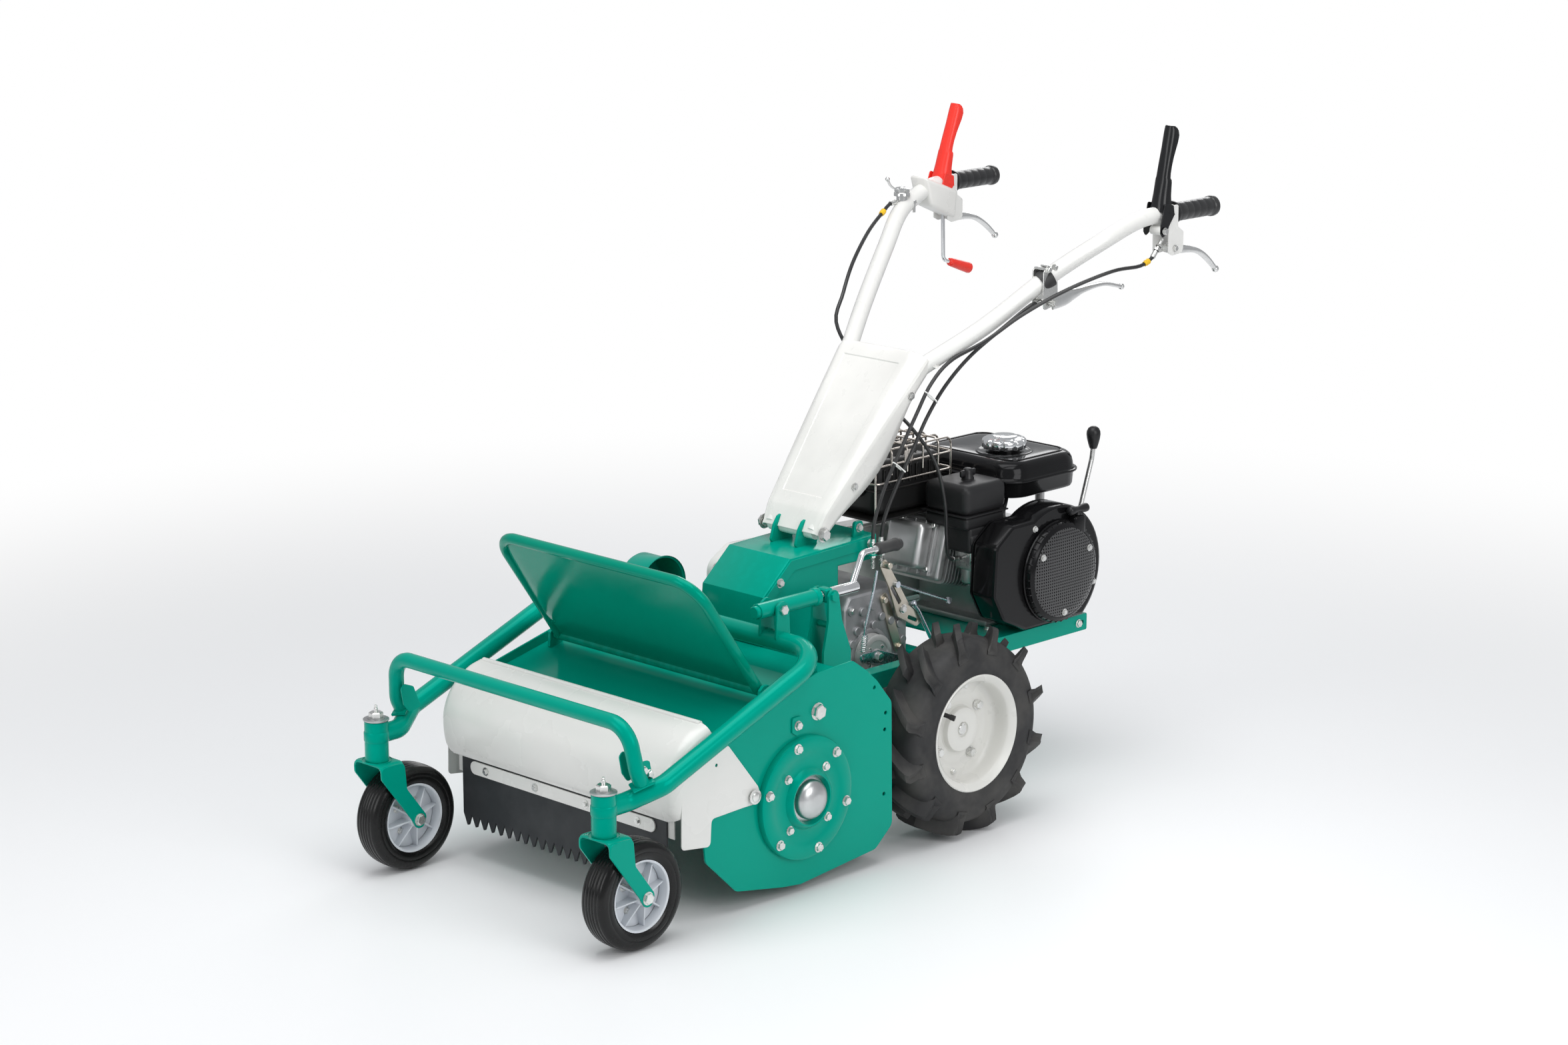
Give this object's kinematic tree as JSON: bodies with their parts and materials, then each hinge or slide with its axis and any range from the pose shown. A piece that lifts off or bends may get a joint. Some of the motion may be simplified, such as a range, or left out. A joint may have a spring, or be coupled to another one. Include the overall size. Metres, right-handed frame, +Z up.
{
  "type": "walk-behind flail mower",
  "caption": "Walk-behind flail mower: two lugged drive wheels, caster-borne tubular front frame, enclosed knife rotor, rear petrol engine, and a two-arm handlebar with levers.",
  "frame": {"origin": "on the ground at the middle of the bounding box's footprint", "axes": "+X towards the front casters, +Y to the operator's left, +Z up"},
  "size_m": [1.6224, 0.6798, 1.231],
  "materials": {
    "green_paint": "gloss",
    "white_paint": "gloss",
    "black_paint": "gloss",
    "cast_grey": "cast",
    "alloy": "cast, satin",
    "zinc": "zinc plated",
    "chrome": "polished",
    "rubber": "matt",
    "tyre_rubber": "matt",
    "black_plastic": "matt",
    "grey_plastic": "satin",
    "red_plastic": "gloss",
    "steel": "bare"
  },
  "bodies": {
    "chassis": {"side_plate_left": "green_paint", "side_plate_right": "green_paint", "bearing_left": "green_paint", "bearing_right": "green_paint", "deck_shell": "green_paint", "gearbox": "cast_grey", "rear_frame": "green_paint", "belt_housing": "green_paint", "side_belt_cover": "white_paint", "pulley_cover": "green_paint", "engine_block": "alloy", "blower_housing": "black_paint", "recoil_cover": "black_paint", "fuel_tank": "black_paint", "air_cleaner": "black_plastic", "carburettor": "zinc", "muffler": "black_paint", "muffler_cage": "chrome", "column_cover": "white_paint", "handlebar": "white_paint", "grip_left": "rubber", "grip_right": "rubber", "clutch_cable": "rubber", "brake_cable": "rubber", "throttle_cable": "rubber"},
    "left_wheel": {"wheel_rim_left": "white_paint", "wheel_tyre_left": "tyre_rubber"},
    "right_wheel": {"wheel_rim_right": "white_paint", "wheel_tyre_right": "tyre_rubber"},
    "rotor": {"flail_rotor": "steel"},
    "cover": {"front_cover": "white_paint", "rubber_skirt": "rubber", "skirt_strip": "white_paint"},
    "top_flap": {"flap": "green_paint"},
    "caster_frame": {"front_frame": "green_paint", "guard_bar": "green_paint"},
    "left_fork": {"fork_left": "green_paint"},
    "right_fork": {"fork_right": "green_paint"},
    "left_caster": {"caster_rim_left": "grey_plastic", "caster_tyre_left": "tyre_rubber"},
    "right_caster": {"caster_rim_right": "grey_plastic", "caster_tyre_right": "tyre_rubber"},
    "jack_tube": {"adjuster_tube": "green_paint"},
    "jack_crank": {"adjuster_crank": "chrome"},
    "brake_linkage": {"brake_arm": "zinc", "return_spring": "steel", "brake_rod": "zinc"},
    "slotted_arm": {"slot_arm": "zinc"},
    "link": {"link_rod": "zinc"},
    "gear_lever": {"shift_lever": "black_plastic"},
    "cap": {"fuel_cap": "chrome"},
    "wing_knob": {"cleaner_knob": "black_plastic"},
    "pull_grip": {"starter_grip": "black_plastic"},
    "left_tall_lever": {"black_lever": "black_plastic"},
    "right_tall_lever": {"red_lever": "red_plastic"},
    "left_clutch": {"clutch_lever_left": "black_plastic"},
    "right_clutch": {"clutch_lever_right": "grey_plastic"},
    "hand_brake": {"brake_lever": "chrome"},
    "throttle": {"throttle_lever": "zinc"},
    "latch": {"latch_rod": "chrome"}
  },
  "joints": [
    {"name": "left_wheel_spin", "type": "hinge", "parent": "chassis", "child": "left_wheel", "pos_m": [-0.11285, 0.2564, 0.1934], "axis": [0, 1, 0], "continuous": true},
    {"name": "right_wheel_spin", "type": "hinge", "parent": "chassis", "child": "right_wheel", "pos_m": [-0.11285, -0.2564, 0.1934], "axis": [0, 1, 0], "continuous": true},
    {"name": "rotor_spin", "type": "hinge", "parent": "chassis", "child": "rotor", "pos_m": [0.32015, 0, 0.171], "axis": [0, 1, 0], "continuous": true},
    {"name": "cover_hinge", "type": "hinge", "parent": "chassis", "child": "cover", "pos_m": [0.44315, 0, 0.201], "axis": [0, -1, 0], "range_deg": [0, 20]},
    {"name": "flap_hinge", "type": "hinge", "parent": "chassis", "child": "top_flap", "pos_m": [0.38215, 0, 0.365], "axis": [0, 1, 0], "range_deg": [0, 40]},
    {"name": "frame_tilt", "type": "hinge", "parent": "chassis", "child": "caster_frame", "pos_m": [0.28515, 0, 0.317], "axis": [0, 1, 0], "range_deg": [-2, 6]},
    {"name": "left_swivel", "type": "hinge", "parent": "caster_frame", "child": "left_fork", "pos_m": [0.77735, 0.2919, 0.2812], "axis": [0, 0, 1], "continuous": true},
    {"name": "right_swivel", "type": "hinge", "parent": "caster_frame", "child": "right_fork", "pos_m": [0.77735, -0.2919, 0.2812], "axis": [0, 0, 1], "continuous": true},
    {"name": "left_caster_spin", "type": "hinge", "parent": "left_fork", "child": "left_caster", "pos_m": [0.71675, 0.2919, 0.0946], "axis": [0, 1, 0], "continuous": true},
    {"name": "right_caster_spin", "type": "hinge", "parent": "right_fork", "child": "right_caster", "pos_m": [0.71675, -0.2919, 0.0946], "axis": [0, 1, 0], "continuous": true},
    {"name": "jack_pivot", "type": "hinge", "parent": "caster_frame", "child": "jack_tube", "pos_m": [0.29215, 0.2, 0.484], "axis": [0, 1, 0], "range_deg": [-6, 2]},
    {"name": "jack_turn", "type": "hinge", "parent": "chassis", "child": "jack_crank", "pos_m": [0.16715, 0.2, 0.484], "axis": [1, 0, 0], "continuous": true},
    {"name": "brake_arm_pivot", "type": "hinge", "parent": "chassis", "child": "brake_linkage", "pos_m": [-0.06585, 0.1058, 0.306], "axis": [0, 1, 0], "range_deg": [0, 8]},
    {"name": "slot_arm_pivot", "type": "hinge", "parent": "chassis", "child": "slotted_arm", "pos_m": [-0.13985, 0.0965, 0.38], "axis": [0, 1, 0], "range_deg": [-8, 8]},
    {"name": "link_pivot", "type": "hinge", "parent": "slotted_arm", "child": "link", "pos_m": [-0.12185, 0.0965, 0.43], "axis": [0, 1, 0], "range_deg": [-8, 8]},
    {"name": "gear_lever_pivot", "type": "hinge", "parent": "chassis", "child": "gear_lever", "pos_m": [-0.57035, 0.1, 0.312], "axis": [0, 1, 0], "range_deg": [-8, 4]},
    {"name": "cap_twist", "type": "hinge", "parent": "chassis", "child": "cap", "pos_m": [-0.48485, 0.036, 0.612], "axis": [0, 0, 1], "range_deg": [0, 90]},
    {"name": "knob_turn", "type": "hinge", "parent": "chassis", "child": "wing_knob", "pos_m": [-0.33985, 0.075, 0.583], "axis": [0, 0, 1], "continuous": true},
    {"name": "starter_pull", "type": "slide", "parent": "chassis", "child": "pull_grip", "axis": [0, 0, 1], "range_m": [0, 0.35], "stiffness_N_per_m": 40, "springref_m": -0.1},
    {"name": "left_tall_pivot", "type": "hinge", "parent": "chassis", "child": "left_tall_lever", "pos_m": [-0.62385, 0.2925, 1.043], "axis": [0, 1, 0], "range_deg": [0, 35]},
    {"name": "right_tall_pivot", "type": "hinge", "parent": "chassis", "child": "right_tall_lever", "pos_m": [-0.62385, -0.2925, 1.043], "axis": [0, 1, 0], "range_deg": [0, 35]},
    {"name": "left_clutch_pivot", "type": "hinge", "parent": "chassis", "child": "left_clutch", "pos_m": [-0.65885, 0.2925, 1.007], "axis": [0, 1, 0], "range_deg": [0, 25], "stiffness_Nm_per_rad": 2, "springref_deg": -17.19},
    {"name": "right_clutch_pivot", "type": "hinge", "parent": "chassis", "child": "right_clutch", "pos_m": [-0.65885, -0.2925, 1.007], "axis": [0, 1, 0], "range_deg": [0, 25], "stiffness_Nm_per_rad": 2, "springref_deg": -17.19},
    {"name": "hand_brake_pivot", "type": "hinge", "parent": "chassis", "child": "hand_brake", "pos_m": [-0.40385, 0.214, 0.928], "axis": [0, 1, 0], "range_deg": [0, 15], "stiffness_Nm_per_rad": 2, "springref_deg": -17.19},
    {"name": "throttle_pivot", "type": "hinge", "parent": "chassis", "child": "throttle", "pos_m": [-0.51285, -0.258, 1.0735], "axis": [0, 0, 1], "range_deg": [-25, 25]},
    {"name": "latch_turn", "type": "hinge", "parent": "chassis", "child": "latch", "pos_m": [-0.64785, -0.275, 1.012], "axis": [0, 0, 1], "range_deg": [-60, 60]}
  ],
  "couplings": [
    {"joint": "jack_pivot", "follows": "frame_tilt", "ratio": -1},
    {"joint": "link_pivot", "follows": "slot_arm_pivot", "ratio": -1}
  ]
}
